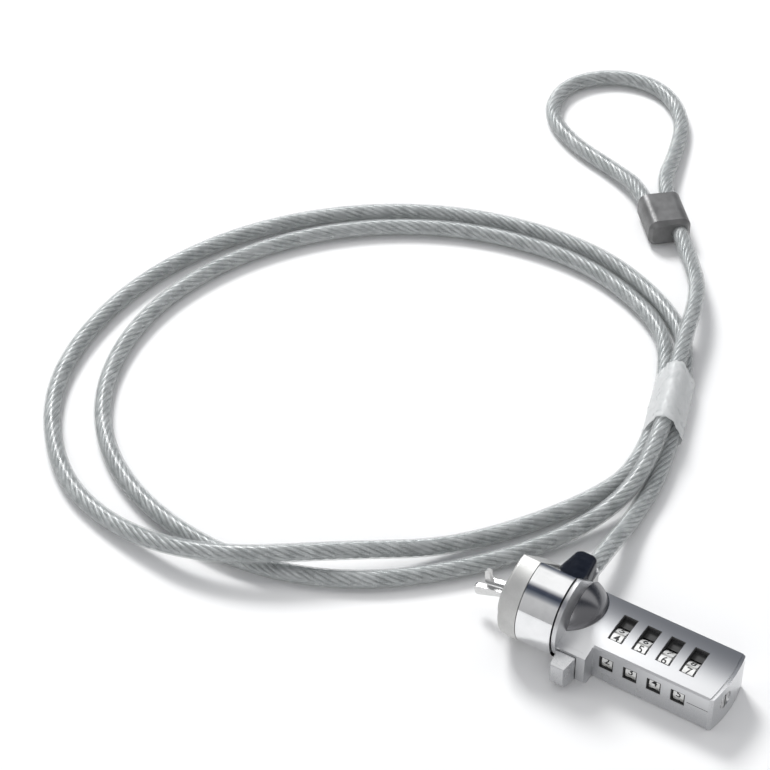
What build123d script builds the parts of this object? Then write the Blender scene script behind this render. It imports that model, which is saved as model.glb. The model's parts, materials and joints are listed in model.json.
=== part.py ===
from build123d import *
import math
import os

os.makedirs("parts", exist_ok=True)

# Laptop cable lock with four dials. Millimetres, lock lying on its flat underside.
# +X runs from the nose to the dial end, -Y is the button side, +Z is up.
# The origin is the centre of the lower shell's flat underside.

# Head: nose ring, chrome band and rim share one cylinder along X.
HEAD_R = 11.0
HEAD_Y = -2.2
HEAD_Z = 11.0
RING_X = (-36.5, -31.8)
BAND_X = (-31.6, -22.9)
RIM_X = (-22.7, -21.7)
RIM_R = 10.4
NOSE_WALL = 1.6
NOSE_PAD_R = 6.4
NOSE_PAD_T = 2.2
APERTURE = (3.2, 9.4)
# A flat at 45 degrees takes the head's upper back edge off, and the cable swivel's slot is below.
SLOT_Y = 0.7
SLOT_Z = 3.3
# Pocket along the head that the latch works in.
POCKET_Y = (-9.5, 0.2)
POCKET_Z = (4.0, 14.0)
RIM_POCKET_TOP = 9.9

# Body: two shells that meet at the height of the dials' axle.
BODY_HALF = 8.1
BODY_TOP = 10.7
CROWN_TOP = 10.95
CROWN_R = 40.0
SIDE_TOP = 10.12
EDGE_BREAK = 0.6
PARTING_Z = 6.0
WALL = 1.2
FLOOR = 0.9
NECK_Y = -11.9
NECK_CHAMFER = 1.5
BODY_START = -21.8
NECK_END = -14.4
BODY_END = 14.4
END_BULGE = 0.9
END_CAP = 0.9
END_CAP_DROP = 0.3
DOME_R = 9.1
DOME_CENTRE = (-25.1, 0.7, 7.5)

# Dials and their code sleeves.
DIAL_COUNT = 4
DIAL_PITCH = 5.94
DIAL_1_X = -10.96
DIAL_Y = -2.9
DIAL_Z = PARTING_Z
DIAL_R = 4.7
DIAL_W = 3.0
DIGITS = 10
GROOVE_ANGLE = 9
WINDOW = (3.6, 8.1)
WINDOW_Y = -0.7
SIDE_WINDOW = (3.5, 3.6)
SIDE_WINDOW_Z = 6.2
SLEEVE_R = 2.9
SLEEVE_L = 5.0
SPINDLE_R = 1.5
RUNNING_FIT = 0.05
SPINDLE_X = (-18.6, 12.2)
SPINDLE_TRAVEL = 1.2
SET_SCREW_R = 2.1
FRONT_BULKHEAD_X = -15.0
REAR_BULKHEAD_X = 11.6
BULKHEAD_T = 1.2

# Latch: two flat jaws side by side on one pin, spread at rest, closed by the button.
JAW_Y = -2.7
JAW_W = 2.6
JAW_GAP = 0.1
JAW_Z = 9.0
JAW_PIVOT_X = -33.4
JAW_EYE_R = 1.35
JAW_PIN_R = 0.8
BUTTON_X = (-21.4, -16.7)
BUTTON_Y = (-15.9, -9.4)
BUTTON_Z = (1.2, 8.3)
BUTTON_TAPER = 0.9
BUTTON_TRAVEL = 2.2
SPRING_X = -18.9
SPRING_Z = 3.0
SPRING_END_Y = -4.4

# Cable swivel at the head's back, on a vertical pin.
SWIVEL_X = -27.4
SWIVEL_Y = 4.6
SWIVEL_R = 3.6
SWIVEL_END_Y = 13.2
SWIVEL_Z = (3.6, 10.4)
CAP_Z = (10.5, 14.5)
SWIVEL_PIN_R = 1.2
PIN_TOP = 12.9
EXIT_Z = 7.0

# Cable and the pieces on it.
CABLE_D = 4.5
CABLE_R = CABLE_D / 2
LIE = CABLE_R
TIE_CENTRE = (-39.6, 77.0)
TIE_LENGTH = 21.0
TIE_HEADING = 108.5
TIE_STRAND_DX = 2.4
TIE_STRAND_Z = (2.8, 7.3)
FERRULE_CENTRE = (-75.9, 143.3)
FERRULE_HEADING = 132.0
FERRULE = (14.0, 11.6, 8.0)
FERRULE_BORE_DX = 2.7
FERRULE_Z = 4.0


def across(heading):
    """Unit vector to the right of a heading, seen from above."""
    angle = math.radians(heading)
    return Vector(math.sin(angle), -math.cos(angle), 0)


def along(heading):
    """Unit vector along a heading in the XY plane."""
    angle = math.radians(heading)
    return Vector(math.cos(angle), math.sin(angle), 0)


def dial_x(index):
    """Centre of a dial, counted from the nose."""
    return DIAL_1_X + index * DIAL_PITCH


def save(part, node):
    """Labels a finished piece and writes it to its own STEP file."""
    part.label = node
    export_step(part, f"parts/{node}.step")


# ---------------------------------------------------------------- body shells

CAVITY_END = REAR_BULKHEAD_X + BULKHEAD_T / 2
SCREW_SEAT_X = CAVITY_END + 2.1


def body_plan(inset, end):
    """Draws the neck and dial block's outline, inset from the outside, up to an end along X."""
    Polyline(
        (end, BODY_HALF - inset),
        (BODY_START, BODY_HALF - inset),
        (BODY_START, NECK_Y + inset),
        (NECK_END - inset, NECK_Y + inset),
        (NECK_END - inset, -BODY_HALF + inset),
        (end, -BODY_HALF + inset),
    )


def shell_half(low, high, cavity_low, cavity_high):
    """One hollow shell of the body between two heights, with its two bulkheads."""
    with BuildPart() as half:
        with BuildSketch(Plane.XY.offset(low)):
            with BuildLine():
                body_plan(0, BODY_END)
                ThreePointArc(
                    (BODY_END, -BODY_HALF), (BODY_END + END_BULGE, 0), (BODY_END, BODY_HALF)
                )
            make_face()
        extrude(amount=high - low)
        with BuildSketch(Plane.XY.offset(cavity_low)):
            with BuildLine():
                body_plan(WALL, CAVITY_END)
                Line((CAVITY_END, -BODY_HALF + WALL), (CAVITY_END, BODY_HALF - WALL))
            make_face()
        extrude(amount=cavity_high - cavity_low, mode=Mode.SUBTRACT)
        for x in (FRONT_BULKHEAD_X, REAR_BULKHEAD_X):
            with Locations((x, (DIAL_Y + BODY_HALF - WALL) / 2 - 1.0, cavity_low)):
                Box(
                    BULKHEAD_T,
                    2 * BODY_HALF - 2 * WALL - 0.6,
                    cavity_high - cavity_low,
                    align=(Align.CENTER, Align.CENTER, Align.MIN),
                )
    return half.part


def head_disc(x_range, radius):
    """A disc of the head between two X positions, with the flat on its upper back."""
    with BuildPart() as disc:
        with BuildSketch(Plane.YZ.offset(x_range[0])):
            with Locations((HEAD_Y, HEAD_Z)):
                Circle(radius)
            with Locations(Location((HEAD_Y + HEAD_R, HEAD_Z + HEAD_R, 0), (0, 0, 45))):
                Rectangle(HEAD_R * math.sqrt(2), 4 * HEAD_R, mode=Mode.SUBTRACT)
        extrude(amount=x_range[1] - x_range[0])
    return disc.part


def head_pocket(x_range, top=POCKET_Z[1]):
    """The latch's pocket between two X positions, up to a height."""
    with BuildPart() as pocket:
        with BuildSketch(Plane.YZ.offset(x_range[0])):
            with Locations((sum(POCKET_Y) / 2, (POCKET_Z[0] + top) / 2)):
                Rectangle(POCKET_Y[1] - POCKET_Y[0], top - POCKET_Z[0])
        extrude(amount=x_range[1] - x_range[0])
    return pocket.part


def rim(low, high):
    """The thin rim that closes the body against the chrome band, between two heights."""
    with BuildPart() as piece:
        add(head_disc(RIM_X, RIM_R))
        add(head_pocket((RIM_X[0] - 1, RIM_X[1] + 1), RIM_POCKET_TOP), mode=Mode.SUBTRACT)
        with Locations((RIM_X[0] - 1, 5.0, SLOT_Z - 0.3)):
            Box(4, 10, 12, align=(Align.MIN, Align.MIN, Align.MIN), mode=Mode.SUBTRACT)
        with Locations((0, 0, low)):
            Box(
                100,
                100,
                high - low,
                align=(Align.CENTER, Align.CENTER, Align.MIN),
                mode=Mode.INTERSECT,
            )
    return piece.part


def shared_openings():
    """What is cut from both shells: dial reliefs, windows, the button's way and bearing seats."""
    with BuildPart() as cuts:
        for index in range(DIAL_COUNT):
            with Locations(Location((dial_x(index), DIAL_Y, DIAL_Z), (0, 90, 0))):
                Cylinder(DIAL_R + 0.3, DIAL_W + 0.6)
            with Locations((dial_x(index), WINDOW_Y, BODY_TOP)):
                Box(WINDOW[0], WINDOW[1], 5.0)
            with Locations((dial_x(index), -BODY_HALF, SIDE_WINDOW_Z)):
                Box(SIDE_WINDOW[0], 4.0, SIDE_WINDOW[1])
        with Locations((sum(BUTTON_X) / 2, NECK_Y + 0.3, sum(BUTTON_Z) / 2)):
            Box(BUTTON_X[1] - BUTTON_X[0] + 0.3, 5.0, BUTTON_Z[1] - BUTTON_Z[0] + 0.4)
        for x in (FRONT_BULKHEAD_X, REAR_BULKHEAD_X):
            with Locations(Location((x, DIAL_Y, DIAL_Z), (0, 90, 0))):
                Cylinder(2.4, BULKHEAD_T)
        with Locations(Location((CAVITY_END, DIAL_Y, DIAL_Z), (0, 90, 0))):
            Cylinder(1.7, 6.0, align=(Align.CENTER, Align.CENTER, Align.MIN))
        with Locations(Location((SCREW_SEAT_X, DIAL_Y, DIAL_Z), (0, 90, 0))):
            Cylinder(SET_SCREW_R + RUNNING_FIT, 4.0, align=(Align.CENTER, Align.CENTER, Align.MIN))
    return cuts.part


def dome(radius, start_x):
    """The domed end of the head that stands on the body's top."""
    with BuildPart() as cap:
        with Locations(DOME_CENTRE):
            Sphere(radius)
        with Locations((start_x, BODY_HALF, BODY_TOP - WALL)):
            Box(30, 40, 30, align=(Align.MIN, Align.MAX, Align.MIN), mode=Mode.INTERSECT)
    return cap.part


# Two screws from below: through the lower shell's posts into the upper shell's.
SCREW_POINTS = [(-12.0, 5.3), (9.5, 5.3)]
SCREW_POST_R = 1.8
SCREW_R = 0.9
SCREW_HEAD_R = 1.4
SCREW_HEAD_T = 1.0

with BuildPart() as upper_shell:
    add(shell_half(PARTING_Z, CROWN_TOP, PARTING_Z, BODY_TOP - WALL))
    with Locations(Location((0, 0, CROWN_TOP - CROWN_R), (0, 90, 0))):
        Cylinder(CROWN_R, 100, mode=Mode.INTERSECT)
    for start_x, y in ((NECK_END, -BODY_HALF), (BODY_START, BODY_HALF)):
        with Locations(Location((start_x, y, SIDE_TOP), (45, 0, 0))):
            Box(
                BODY_END + 2 - start_x,
                EDGE_BREAK,
                EDGE_BREAK,
                align=(Align.MIN, Align.CENTER, Align.CENTER),
                mode=Mode.SUBTRACT,
            )
    add(rim(PARTING_Z, HEAD_Z + HEAD_R))
    add(dome(DOME_R, RIM_X[1]))
    add(dome(DOME_R - WALL, RIM_X[1] + WALL / 2), mode=Mode.SUBTRACT)
    for x, y in SCREW_POINTS:
        with Locations((x, y, PARTING_Z)):
            Cylinder(SCREW_POST_R, 4.0, align=(Align.CENTER, Align.CENTER, Align.MIN))
            Cylinder(
                SCREW_R, 2.8, align=(Align.CENTER, Align.CENTER, Align.MIN), mode=Mode.SUBTRACT
            )
    add(shared_openings(), mode=Mode.SUBTRACT)
save(upper_shell.part, "upper_shell")

with BuildPart() as lower_shell:
    add(shell_half(0, PARTING_Z, FLOOR, PARTING_Z))
    low_edges = lower_shell.edges().filter_by(Axis.X).group_by(Axis.Z)[0].sort_by(Axis.Y)
    chamfer(low_edges[0], NECK_CHAMFER)
    fillet([low_edges[1], low_edges[-1]], 0.7)
    add(rim(0, PARTING_Z))
    for x, y in SCREW_POINTS:
        with Locations((x, y, 0)):
            Cylinder(SCREW_POST_R, PARTING_Z, align=(Align.CENTER, Align.CENTER, Align.MIN))
    with Locations((SPRING_X, SPRING_END_Y, 0)):
        Box(4.0, 1.0, 4.2, align=(Align.CENTER, Align.MIN, Align.MIN))
    add(shared_openings(), mode=Mode.SUBTRACT)
    for x, y in SCREW_POINTS:
        with Locations((x, y, 0)):
            Cylinder(
                SCREW_HEAD_R + RUNNING_FIT,
                SCREW_HEAD_T + 0.3,
                align=(Align.CENTER, Align.CENTER, Align.MIN),
                mode=Mode.SUBTRACT,
            )
            Cylinder(
                SCREW_R + RUNNING_FIT,
                PARTING_Z,
                align=(Align.CENTER, Align.CENTER, Align.MIN),
                mode=Mode.SUBTRACT,
            )
save(lower_shell.part, "lower_shell")

with BuildPart() as end_cap:
    with BuildSketch():
        with BuildLine():
            ThreePointArc((BODY_END, -BODY_HALF), (BODY_END + END_BULGE, 0), (BODY_END, BODY_HALF))
            Line((BODY_END, BODY_HALF), (BODY_END + END_CAP, BODY_HALF - 0.5))
            ThreePointArc(
                (BODY_END + END_CAP, BODY_HALF - 0.5),
                (BODY_END + END_BULGE + END_CAP, 0),
                (BODY_END + END_CAP, -BODY_HALF + 0.5),
            )
            Line((BODY_END + END_CAP, -BODY_HALF + 0.5), (BODY_END, -BODY_HALF))
        make_face()
    extrude(amount=CROWN_TOP)
    with Locations(Location((0, 0, CROWN_TOP - END_CAP_DROP - CROWN_R), (0, 90, 0))):
        Cylinder(CROWN_R, 100, mode=Mode.INTERSECT)
    with Locations(Location((BODY_END, DIAL_Y, DIAL_Z), (0, 90, 0))):
        Cylinder(SET_SCREW_R + RUNNING_FIT, 20, mode=Mode.SUBTRACT)
save(end_cap.part, "end_cap")

with BuildPart() as shell_screws:
    for x, y in SCREW_POINTS:
        with Locations((x, y, 0.3)):
            Cylinder(SCREW_HEAD_R, SCREW_HEAD_T, align=(Align.CENTER, Align.CENTER, Align.MIN))
            Cylinder(SCREW_R, 8.2, align=(Align.CENTER, Align.CENTER, Align.MIN))
    for x, y in SCREW_POINTS:
        with Locations((x, y, 0.3)):
            Box(1.9, 0.4, 0.5, align=(Align.CENTER, Align.CENTER, Align.MIN), mode=Mode.SUBTRACT)
            Box(0.4, 1.9, 0.5, align=(Align.CENTER, Align.CENTER, Align.MIN), mode=Mode.SUBTRACT)
save(shell_screws.part, "shell_screws")

# ---------------------------------------------------------------- head

with BuildPart() as head_band:
    add(head_disc(BAND_X, HEAD_R))
    add(head_pocket((BAND_X[0] - 1, BAND_X[1] + 1)), mode=Mode.SUBTRACT)
    with Locations((sum(BAND_X) / 2, SLOT_Y, SLOT_Z)):
        Box(
            20,
            20,
            2 * HEAD_R,
            align=(Align.CENTER, Align.MIN, Align.MIN),
            mode=Mode.SUBTRACT,
        )
    with Locations((SWIVEL_X, SWIVEL_Y, SLOT_Z)):
        Cylinder(SWIVEL_PIN_R, 1.6, mode=Mode.SUBTRACT)
save(head_band.part, "head_band")

with BuildPart() as nose_ring:
    add(head_disc(RING_X, HEAD_R))
    front = nose_ring.edges().filter_by(GeomType.CIRCLE).sort_by(Axis.X)[0]
    fillet(front, 0.8)
    add(head_pocket((RING_X[0] + NOSE_WALL, RING_X[1] + 1)), mode=Mode.SUBTRACT)
    with Locations((RING_X[0], JAW_Y, JAW_Z)):
        Box(2 * NOSE_WALL + 1, APERTURE[0], APERTURE[1], mode=Mode.SUBTRACT)
save(nose_ring.part, "nose_ring")

with BuildPart() as nose_pad:
    with BuildSketch(Plane.YZ.offset(RING_X[0] - NOSE_PAD_T)):
        with Locations((JAW_Y, JAW_Z)):
            Circle(NOSE_PAD_R)
            Rectangle(APERTURE[0], APERTURE[1], mode=Mode.SUBTRACT)
    extrude(amount=NOSE_PAD_T)
    fillet(nose_pad.edges().filter_by(GeomType.CIRCLE).sort_by(Axis.X)[0], 0.6)
save(nose_pad.part, "nose_pad")

# ---------------------------------------------------------------- latch

CHEEK_T = 1.2
CHEEK_GAP = JAW_W / 2 + JAW_GAP
CARRIER_X = (RING_X[0] + NOSE_WALL, RING_X[1] - 0.15)
with BuildPart() as jaw_carrier:
    for side in (-1, 1):
        cheek_y = JAW_Y + side * (CHEEK_GAP + CHEEK_T / 2)
        with Locations((sum(CARRIER_X) / 2, cheek_y, sum(POCKET_Z) / 2)):
            Box(CARRIER_X[1] - CARRIER_X[0], CHEEK_T, POCKET_Z[1] - POCKET_Z[0])
    with Locations((sum(CARRIER_X) / 2, JAW_Y, POCKET_Z[1])):
        Box(
            CARRIER_X[1] - CARRIER_X[0],
            2 * CHEEK_GAP,
            0.8,
            align=(Align.CENTER, Align.CENTER, Align.MAX),
        )
    with Locations(Location((JAW_PIVOT_X, JAW_Y, JAW_Z), (90, 0, 0))):
        Cylinder(JAW_PIN_R, 20, mode=Mode.SUBTRACT)
save(jaw_carrier.part, "jaw_carrier")

with BuildPart() as jaw_pin:
    with Locations(Location((JAW_PIVOT_X, JAW_Y, JAW_Z), (90, 0, 0))):
        Cylinder(JAW_PIN_R, 2 * (CHEEK_GAP + CHEEK_T))
save(jaw_pin.part, "jaw_pin")


def jaw(outline, low_y, high_y):
    """A flat jaw between two Y positions: an XZ outline about the pin, with the pin's eye."""
    points = [(JAW_PIVOT_X + x, JAW_Z + z) for x, z in outline]
    with BuildPart() as piece:
        with BuildSketch(Plane.XZ.offset(-high_y)):
            with BuildLine():
                Polyline(*points, close=True)
            make_face()
            with Locations((JAW_PIVOT_X, JAW_Z)):
                Circle(JAW_EYE_R)
                Circle(JAW_PIN_R + RUNNING_FIT, mode=Mode.SUBTRACT)
        extrude(amount=high_y - low_y)
    return piece.part


# Outlines run round each jaw from the tail behind the pin to the tip in front of the nose.
UPPER_JAW = [
    (2.4, 0.55), (2.4, 1.3), (0.4, 1.3), (-7.9, 0.8), (-10.7, 0.2), (-11.1, 2.5), (-11.7, 2.9),
    (-12.3, 2.5), (-12.2, -0.6), (-11.7, -1.0), (-7.9, -0.3), (-1.0, -1.2), (0.4, -1.2),
    (1.2, 0.55),
]
LOWER_JAW = [
    (2.4, -0.55), (2.4, -1.3), (0.4, -1.3), (-7.8, -2.1), (-13.2, -4.4), (-13.9, -4.2),
    (-14.3, -2.1), (-13.7, -1.8), (-7.8, -0.5), (-1.0, 1.2), (0.4, 1.2), (1.2, -0.55),
]
upper_jaw = jaw(UPPER_JAW, JAW_Y + JAW_GAP / 2, JAW_Y + JAW_W / 2)
save(upper_jaw, "upper_jaw")
lower_jaw = jaw(LOWER_JAW, JAW_Y - JAW_W / 2, JAW_Y - JAW_GAP / 2)
save(lower_jaw, "lower_jaw")

with BuildPart() as push_button:
    with BuildSketch(Plane.YZ.offset(BUTTON_X[0])):
        with BuildLine():
            Polyline(
                (BUTTON_Y[1], BUTTON_Z[0]),
                (BUTTON_Y[1], BUTTON_Z[1]),
                (NECK_Y, BUTTON_Z[1]),
                (BUTTON_Y[0], BUTTON_Z[1] - BUTTON_TAPER),
                (BUTTON_Y[0], BUTTON_Z[0] + 1.2),
                (BUTTON_Y[0] + 0.8, BUTTON_Z[0]),
                close=True,
            )
        make_face()
    extrude(amount=BUTTON_X[1] - BUTTON_X[0])
    with BuildSketch(Plane.XY):
        with BuildLine():
            Polyline(
                (BUTTON_X[0], BUTTON_Y[1]),
                (BUTTON_X[0], NECK_Y),
                (BUTTON_X[0] + BUTTON_TAPER / 2, BUTTON_Y[0]),
                (BUTTON_X[1] - BUTTON_TAPER, BUTTON_Y[0]),
                (BUTTON_X[1], NECK_Y),
                (BUTTON_X[1], BUTTON_Y[1]),
                close=True,
            )
        make_face()
    extrude(amount=20, mode=Mode.INTERSECT)
    fillet(push_button.faces().sort_by(Axis.Y)[0].edges(), 0.3)
    with Locations((sum(BUTTON_X) / 2, BUTTON_Y[1], sum(BUTTON_Z) / 2)):
        Box(
            BUTTON_X[1] - BUTTON_X[0] - 1.6,
            0.9,
            BUTTON_Z[1] - BUTTON_Z[0] + 0.4,
            align=(Align.CENTER, Align.MAX, Align.CENTER),
        )
save(push_button.part, "push_button")

# The slide carries the button's push to the spindle's tip and to the wedge between the jaw tails.
CAM_FACE_X = -19.1
CAM_SLOPE = SPINDLE_TRAVEL / BUTTON_TRAVEL
WEDGE_X = (-31.9, -31.1)
WEDGE_THIN = 0.5
WEDGE_THICK = 0.8
WEDGE_END_Y = -2.2
with BuildPart() as release_slide:
    with BuildSketch(Plane.XY.offset(PARTING_Z - 1.0)):
        with BuildLine():
            Polyline(
                (BUTTON_X[0] + 0.5, BUTTON_Y[1]),
                (BUTTON_X[1] - 0.6, BUTTON_Y[1]),
                (CAM_FACE_X + CAM_SLOPE * 2.6, DIAL_Y - 2.6),
                (CAM_FACE_X - CAM_SLOPE * 1.1, DIAL_Y + 1.1),
                (BUTTON_X[0] + 0.5, DIAL_Y + 1.1),
                close=True,
            )
        make_face()
    extrude(amount=2.0)
    with Locations((WEDGE_X[0], BUTTON_Y[1], PARTING_Z)):
        Box(
            BUTTON_X[1] - 2.0 - WEDGE_X[0],
            1.4,
            3.4,
            align=(Align.MIN, Align.MIN, Align.MIN),
        )
    with BuildSketch(Plane.YZ.offset(WEDGE_X[0])):
        with BuildLine():
            Polyline(
                (BUTTON_Y[1], JAW_Z - WEDGE_THICK),
                (JAW_Y - JAW_W / 2 - BUTTON_TRAVEL, JAW_Z - WEDGE_THICK),
                (JAW_Y - JAW_W / 2, JAW_Z - WEDGE_THIN),
                (WEDGE_END_Y, JAW_Z - WEDGE_THIN),
                (WEDGE_END_Y, JAW_Z + WEDGE_THIN),
                (JAW_Y, JAW_Z + WEDGE_THIN),
                (JAW_Y - BUTTON_TRAVEL, JAW_Z + WEDGE_THICK),
                (BUTTON_Y[1], JAW_Z + WEDGE_THICK),
                close=True,
            )
        make_face()
    extrude(amount=WEDGE_X[1] - WEDGE_X[0])
save(release_slide.part, "release_slide")

SPRING_R = 1.3
SPRING_WIRE = 0.4
SPRING_Y = (BUTTON_Y[1] + 0.25, SPRING_END_Y - 0.25)
with BuildPart() as return_spring:
    with BuildLine() as coil:
        Helix(
            pitch=(SPRING_Y[1] - SPRING_Y[0]) / 5,
            height=SPRING_Y[1] - SPRING_Y[0],
            radius=SPRING_R,
            center=(SPRING_X, SPRING_Y[0], SPRING_Z),
            direction=(0, 1, 0),
        )
    with BuildSketch(Plane(origin=coil.line @ 0, z_dir=coil.line % 0)):
        Circle(SPRING_WIRE / 2)
    sweep(path=coil.line, is_frenet=True)
save(return_spring.part, "return_spring")

# ---------------------------------------------------------------- dials and code mechanism

with BuildPart() as code_spindle:
    with BuildSketch(Plane.XZ.offset(-DIAL_Y)):
        with BuildLine():
            Polyline(
                (SPINDLE_X[0], DIAL_Z),
                (SPINDLE_X[0], DIAL_Z + 0.3),
                (SPINDLE_X[0] + 1.6, DIAL_Z + SPINDLE_R),
                (SPINDLE_X[1], DIAL_Z + SPINDLE_R),
                (SPINDLE_X[1], DIAL_Z),
                close=True,
            )
        make_face()
    revolve(axis=Axis((0, DIAL_Y, DIAL_Z), (1, 0, 0)))
    for index in range(DIAL_COUNT):
        with Locations((dial_x(index) - SLEEVE_L / 2 + 0.7, DIAL_Y, DIAL_Z + 1.7)):
            Box(0.7, 1.0, 1.0)
save(code_spindle.part, "code_spindle")


def bushing(x):
    """Plain bearing that the spindle slides in."""
    with BuildPart() as piece:
        with Locations(Location((x, DIAL_Y, DIAL_Z), (0, 90, 0))):
            Cylinder(2.4, BULKHEAD_T)
            Cylinder(SPINDLE_R + RUNNING_FIT, BULKHEAD_T + 1, mode=Mode.SUBTRACT)
    return piece.part


front_bushing = bushing(FRONT_BULKHEAD_X)
save(front_bushing, "front_bushing")
rear_bushing = bushing(REAR_BULKHEAD_X)
save(rear_bushing, "rear_bushing")

with BuildPart() as dial_spacers:
    for index in range(DIAL_COUNT + 1):
        x = DIAL_1_X + (index - 0.5) * DIAL_PITCH
        with Locations(Location((x, DIAL_Y, DIAL_Z), (0, 90, 0))):
            Cylinder(3.3, 0.6)
    with Locations(Location((0, DIAL_Y, DIAL_Z), (0, 90, 0))):
        Cylinder(SPINDLE_R + RUNNING_FIT, 60, mode=Mode.SUBTRACT)
save(dial_spacers.part, "dial_spacers")

DETENT_Y = DIAL_Y + DIAL_R + 1.4
with BuildPart() as detent_spring:
    with Locations(((dial_x(0) + dial_x(3)) / 2, DETENT_Y, DIAL_Z)):
        Box(3 * DIAL_PITCH + 3.4, 0.3, 4.4)
    for index in range(DIAL_COUNT):
        with Locations((dial_x(index), DETENT_Y - 0.1, DIAL_Z)):
            Cylinder(1.0, 4.4)
        with Locations((dial_x(index), DETENT_Y + 0.15, DIAL_Z)):
            Box(2.6, 2.0, 5.0, align=(Align.CENTER, Align.MIN, Align.CENTER), mode=Mode.SUBTRACT)
save(detent_spring.part, "detent_spring")


def dial(index):
    """A ten-sided number dial with a groove between neighbouring digit flats."""
    with BuildPart() as piece:
        with Locations(Location((dial_x(index), DIAL_Y, DIAL_Z), (0, 90, 0))):
            Cylinder(DIAL_R, DIAL_W)
            Cylinder(SLEEVE_R + RUNNING_FIT, DIAL_W + 1, mode=Mode.SUBTRACT)
        with Locations(Plane((dial_x(index), DIAL_Y, DIAL_Z), x_dir=(0, 1, 0), z_dir=(1, 0, 0))):
            with PolarLocations(DIAL_R, DIGITS, start_angle=GROOVE_ANGLE):
                Box(0.9, 0.7, DIAL_W + 1, mode=Mode.SUBTRACT)
    return piece.part


def code_sleeve(index):
    """The sleeve inside a dial that holds its place in the code, with a gate for the spindle's lug."""
    x = dial_x(index)
    with BuildPart() as piece:
        with Locations(Location((x, DIAL_Y, DIAL_Z), (0, 90, 0))):
            Cylinder(SLEEVE_R, SLEEVE_L)
            Cylinder(SPINDLE_R + RUNNING_FIT, SLEEVE_L + 1, mode=Mode.SUBTRACT)
        with Locations(Location((x + DIAL_W / 2 + 0.3, DIAL_Y, DIAL_Z), (0, 90, 0))):
            Cylinder(3.4, 0.5)
            Cylinder(SPINDLE_R + RUNNING_FIT, 2, mode=Mode.SUBTRACT)
        with Locations(Location((x - SLEEVE_L / 2, DIAL_Y, DIAL_Z), (0, 90, 0))):
            Cylinder(
                2.45, 2.6, align=(Align.CENTER, Align.CENTER, Align.MIN), mode=Mode.SUBTRACT
            )
        with Locations((x, DIAL_Y, DIAL_Z + 1.9)):
            Box(SLEEVE_L + 1, 1.3, 1.0, mode=Mode.SUBTRACT)
    return piece.part


for index in range(DIAL_COUNT):
    save(dial(index), f"dial_{index + 1}")
    save(code_sleeve(index), f"code_sleeve_{index + 1}")

SCREW_FACE_X = BODY_END + END_CAP + END_BULGE - 0.25
with BuildPart() as code_set_screw:
    with Locations(Location((SCREW_FACE_X, DIAL_Y, DIAL_Z), (0, 90, 0))):
        Cylinder(SET_SCREW_R, 1.6, align=(Align.CENTER, Align.CENTER, Align.MAX))
        Cylinder(1.2, 2.0, align=(Align.CENTER, Align.CENTER, Align.MAX))
    with Locations((SCREW_FACE_X, DIAL_Y, DIAL_Z)):
        Box(1.2, 0.7, 6.0, mode=Mode.SUBTRACT)
save(code_set_screw.part, "code_set_screw")

# ---------------------------------------------------------------- cable swivel


def swivel_plate(z_range, half, end_half, end_y, corner, bore_top):
    """A tongue that is round about the swivel pin and narrows to its outer end."""
    with BuildPart() as piece:
        with BuildSketch(Plane.XY.offset(z_range[0])):
            with BuildLine():
                Polyline(
                    (SWIVEL_X - half, SWIVEL_Y),
                    (SWIVEL_X + half, SWIVEL_Y),
                    (SWIVEL_X + half, SWIVEL_Y + 1.5),
                    (SWIVEL_X + end_half, end_y),
                    (SWIVEL_X - end_half, end_y),
                    (SWIVEL_X - half, SWIVEL_Y + 1.5),
                    close=True,
                )
            make_face()
            with Locations((SWIVEL_X, SWIVEL_Y)):
                Circle(half)
        extrude(amount=z_range[1] - z_range[0])
        fillet(piece.edges().filter_by(Axis.Z).group_by(Axis.Y)[-1], corner)
        with Locations((SWIVEL_X, SWIVEL_Y, z_range[0])):
            Cylinder(
                SWIVEL_PIN_R + RUNNING_FIT,
                bore_top - z_range[0],
                align=(Align.CENTER, Align.CENTER, Align.MIN),
                mode=Mode.SUBTRACT,
            )
    return piece.part


with BuildPart() as swivel_block:
    add(swivel_plate(SWIVEL_Z, SWIVEL_R, SWIVEL_R - 0.4, SWIVEL_END_Y, 1.6, SWIVEL_Z[1]))
    with Locations(Location((SWIVEL_X, SWIVEL_END_Y - 6.4, EXIT_Z), (-90, 0, 0))):
        Cylinder(
            CABLE_R + 0.35, 7, align=(Align.CENTER, Align.CENTER, Align.MIN), mode=Mode.SUBTRACT
        )
save(swivel_block.part, "swivel_block")

with BuildPart() as swivel_cap:
    add(swivel_plate(CAP_Z, SWIVEL_R + 0.1, SWIVEL_R - 1.0, SWIVEL_END_Y - 0.3, 1.9, PIN_TOP + 0.1))
    fillet(swivel_cap.faces().sort_by(Axis.Z)[-1].outer_wire().edges(), 0.9)
save(swivel_cap.part, "swivel_cap")

with BuildPart() as swivel_pin:
    with Locations((SWIVEL_X, SWIVEL_Y, SLOT_Z - 0.8)):
        Cylinder(
            SWIVEL_PIN_R, PIN_TOP - SLOT_Z + 0.8, align=(Align.CENTER, Align.CENTER, Align.MIN)
        )
save(swivel_pin.part, "swivel_pin")

with BuildPart() as cable_end_crimp:
    with Locations(Location((SWIVEL_X, SWIVEL_END_Y - 6.3, EXIT_Z), (-90, 0, 0))):
        Cylinder(CABLE_R + 0.3, 6.3, align=(Align.CENTER, Align.CENTER, Align.MIN))
save(cable_end_crimp.part, "cable_end_crimp")

# ---------------------------------------------------------------- cable

# One cable in five lengths that meet face to face. The route is from the swivel to the tie, round
# the outer turn to the tie, round the inner turn to the tie, and on to the ferrule and the loop.
TIE_RIGHT = Vector(*TIE_CENTRE) + across(TIE_HEADING) * TIE_STRAND_DX
TIE_LEFT = Vector(*TIE_CENTRE) - across(TIE_HEADING) * TIE_STRAND_DX
TIE_TOP = Vector(*TIE_CENTRE)


def in_tie(strand, distance, z):
    """A point on a strand, at a distance past the tie's middle."""
    place = strand + along(TIE_HEADING) * distance
    return (place.X, place.Y, z)


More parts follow.
